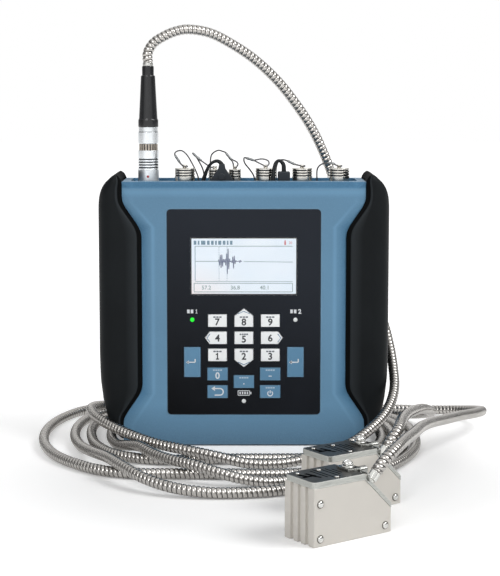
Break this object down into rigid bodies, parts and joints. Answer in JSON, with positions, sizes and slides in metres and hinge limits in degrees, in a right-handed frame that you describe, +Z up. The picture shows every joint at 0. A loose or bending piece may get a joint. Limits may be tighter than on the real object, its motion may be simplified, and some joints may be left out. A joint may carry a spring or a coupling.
{
  "type": "ultrasonic flow meter",
  "caption": "Portable clamp-on ultrasonic flow meter: handheld main unit with keypad and display, capped top sockets, steel conduits and two wedge transducers.",
  "frame": {"origin": "centre of the main unit's base on the surface that it stands on", "axes": "+Z up, the front panel faces -Y, +X to the right seen from the front"},
  "size_m": [0.3622, 0.4048, 0.3277],
  "materials": {
    "blue_plastic": "satin",
    "seal_rubber": "matte",
    "grip_rubber": "matte",
    "panel_film": "satin",
    "window_glass": "clear",
    "display_face": "smooth",
    "circuit_board": "lacquered",
    "battery_case": "matte",
    "deck_plastic": "satin",
    "light_lens": "clear",
    "nickel_steel": "turned",
    "port_steel": "brushed",
    "lanyard_steel": "stranded",
    "cover_rubber": "matte",
    "plug_chrome": "satin",
    "boot_rubber": "matte",
    "conduit_steel": "interlocked",
    "splitter_plastic": "matte",
    "block_plastic": "satin",
    "cover_steel": "brushed",
    "clamp_steel": "satin",
    "screw_chrome": "polished",
    "white_key": "satin",
    "blue_key": "satin"
  },
  "bodies": {
    "root": {"front_shell": "blue_plastic", "rear_shell": "blue_plastic", "shell_seal": "seal_rubber", "left_grip": "grip_rubber", "right_grip": "grip_rubber", "front_panel": "panel_film", "display_window": "window_glass", "display_module": "display_face", "main_board": "circuit_board", "key_mat": "seal_rubber", "battery_pack": "battery_case", "battery_cover": "blue_plastic", "connector_deck": "deck_plastic", "status_lights": "light_lens", "sockets": "nickel_steel", "service_ports": "port_steel", "cap_lanyards": "lanyard_steel", "cover_straps": "cover_rubber", "plug_body": "plug_chrome", "plug_boot": "boot_rubber", "trunk_conduit": "conduit_steel", "conduit_splitter": "splitter_plastic", "front_conduit": "conduit_steel", "rear_conduit": "conduit_steel", "front_transducer_body": "block_plastic", "rear_transducer_body": "block_plastic", "front_transducer_cover": "cover_steel", "rear_transducer_cover": "cover_steel", "front_clamp": "clamp_steel", "rear_clamp": "clamp_steel", "transducer_rivets": "screw_chrome", "conduit_fittings": "plug_chrome", "housing_screws": "screw_chrome"},
    "key_0": {"key_0": "blue_key"},
    "key_1": {"key_1": "white_key"},
    "key_2": {"key_2": "white_key"},
    "key_3": {"key_3": "white_key"},
    "key_4": {"key_4": "white_key"},
    "key_5": {"key_5": "white_key"},
    "key_6": {"key_6": "white_key"},
    "key_7": {"key_7": "white_key"},
    "key_8": {"key_8": "white_key"},
    "key_9": {"key_9": "white_key"},
    "key_minus": {"key_minus": "blue_key"},
    "key_point": {"key_point": "blue_key"},
    "key_back": {"key_back": "blue_key"},
    "key_clear": {"key_clear": "blue_key"},
    "key_enter_left": {"key_enter_left": "blue_key"},
    "key_enter_right": {"key_enter_right": "blue_key"},
    "socket_cap_1": {"socket_cap_1": "nickel_steel"},
    "socket_cap_2": {"socket_cap_2": "nickel_steel"},
    "socket_cap_3": {"socket_cap_3": "nickel_steel"},
    "socket_cap_4": {"socket_cap_4": "nickel_steel"},
    "socket_cap_5": {"socket_cap_5": "nickel_steel"},
    "socket_cap_6": {"socket_cap_6": "nickel_steel"},
    "rubber_cover_wide": {"rubber_cover_wide": "cover_rubber"},
    "rubber_cover_narrow": {"rubber_cover_narrow": "cover_rubber"},
    "plug_sleeve": {"plug_sleeve": "plug_chrome"},
    "front_clamp_screw": {"front_clamp_screw": "screw_chrome"},
    "rear_clamp_screw": {"rear_clamp_screw": "screw_chrome"}
  },
  "joints": [
    {"name": "key_0_press", "type": "slide", "parent": "root", "child": "key_0", "axis": [0, 1, 0], "range_m": [0, 0.0007], "stiffness_N_per_m": 400},
    {"name": "key_1_press", "type": "slide", "parent": "root", "child": "key_1", "axis": [0, 1, 0], "range_m": [0, 0.0007], "stiffness_N_per_m": 400},
    {"name": "key_2_press", "type": "slide", "parent": "root", "child": "key_2", "axis": [0, 1, 0], "range_m": [0, 0.0007], "stiffness_N_per_m": 400},
    {"name": "key_3_press", "type": "slide", "parent": "root", "child": "key_3", "axis": [0, 1, 0], "range_m": [0, 0.0007], "stiffness_N_per_m": 400},
    {"name": "key_4_press", "type": "slide", "parent": "root", "child": "key_4", "axis": [0, 1, 0], "range_m": [0, 0.0007], "stiffness_N_per_m": 400},
    {"name": "key_5_press", "type": "slide", "parent": "root", "child": "key_5", "axis": [0, 1, 0], "range_m": [0, 0.0007], "stiffness_N_per_m": 400},
    {"name": "key_6_press", "type": "slide", "parent": "root", "child": "key_6", "axis": [0, 1, 0], "range_m": [0, 0.0007], "stiffness_N_per_m": 400},
    {"name": "key_7_press", "type": "slide", "parent": "root", "child": "key_7", "axis": [0, 1, 0], "range_m": [0, 0.0007], "stiffness_N_per_m": 400},
    {"name": "key_8_press", "type": "slide", "parent": "root", "child": "key_8", "axis": [0, 1, 0], "range_m": [0, 0.0007], "stiffness_N_per_m": 400},
    {"name": "key_9_press", "type": "slide", "parent": "root", "child": "key_9", "axis": [0, 1, 0], "range_m": [0, 0.0007], "stiffness_N_per_m": 400},
    {"name": "key_minus_press", "type": "slide", "parent": "root", "child": "key_minus", "axis": [0, 1, 0], "range_m": [0, 0.0007], "stiffness_N_per_m": 400},
    {"name": "key_point_press", "type": "slide", "parent": "root", "child": "key_point", "axis": [0, 1, 0], "range_m": [0, 0.0007], "stiffness_N_per_m": 400},
    {"name": "key_back_press", "type": "slide", "parent": "root", "child": "key_back", "axis": [0, 1, 0], "range_m": [0, 0.0007], "stiffness_N_per_m": 400},
    {"name": "key_clear_press", "type": "slide", "parent": "root", "child": "key_clear", "axis": [0, 1, 0], "range_m": [0, 0.0007], "stiffness_N_per_m": 400},
    {"name": "key_enter_left_press", "type": "slide", "parent": "root", "child": "key_enter_left", "axis": [0, 1, 0], "range_m": [0, 0.0007], "stiffness_N_per_m": 400},
    {"name": "key_enter_right_press", "type": "slide", "parent": "root", "child": "key_enter_right", "axis": [0, 1, 0], "range_m": [0, 0.0007], "stiffness_N_per_m": 400},
    {"name": "socket_cap_1_lift", "type": "slide", "parent": "root", "child": "socket_cap_1", "axis": [0, 0, 1], "range_m": [0, 0.014], "deforming": ["cap_lanyards"]},
    {"name": "socket_cap_2_lift", "type": "slide", "parent": "root", "child": "socket_cap_2", "axis": [0, 0, 1], "range_m": [0, 0.014], "deforming": ["cap_lanyards"]},
    {"name": "socket_cap_3_lift", "type": "slide", "parent": "root", "child": "socket_cap_3", "axis": [0, 0, 1], "range_m": [0, 0.014], "deforming": ["cap_lanyards"]},
    {"name": "socket_cap_4_lift", "type": "slide", "parent": "root", "child": "socket_cap_4", "axis": [0, 0, 1], "range_m": [0, 0.014], "deforming": ["cap_lanyards"]},
    {"name": "socket_cap_5_lift", "type": "slide", "parent": "root", "child": "socket_cap_5", "axis": [0, 0, 1], "range_m": [0, 0.014], "deforming": ["cap_lanyards"]},
    {"name": "socket_cap_6_lift", "type": "slide", "parent": "root", "child": "socket_cap_6", "axis": [0, 0, 1], "range_m": [0, 0.014], "deforming": ["cap_lanyards"]},
    {"name": "rubber_cover_wide_lift", "type": "slide", "parent": "root", "child": "rubber_cover_wide", "axis": [0, 0, 1], "range_m": [0, 0.004], "deforming": ["cover_straps"]},
    {"name": "rubber_cover_narrow_lift", "type": "slide", "parent": "root", "child": "rubber_cover_narrow", "axis": [0, 0, 1], "range_m": [0, 0.004], "deforming": ["cover_straps"]},
    {"name": "plug_sleeve_pull", "type": "slide", "parent": "root", "child": "plug_sleeve", "axis": [0, 0, 1], "range_m": [0, 0.0025], "stiffness_N_per_m": 600},
    {"name": "front_clamp_screw_turn", "type": "hinge", "parent": "root", "child": "front_clamp_screw", "pos_m": [0.06563, -0.25973, 0.045], "axis": [0, 0, 1], "continuous": true},
    {"name": "rear_clamp_screw_turn", "type": "hinge", "parent": "root", "child": "rear_clamp_screw", "pos_m": [0.07833, -0.19393, 0.045], "axis": [0, 0, 1], "continuous": true}
  ]
}
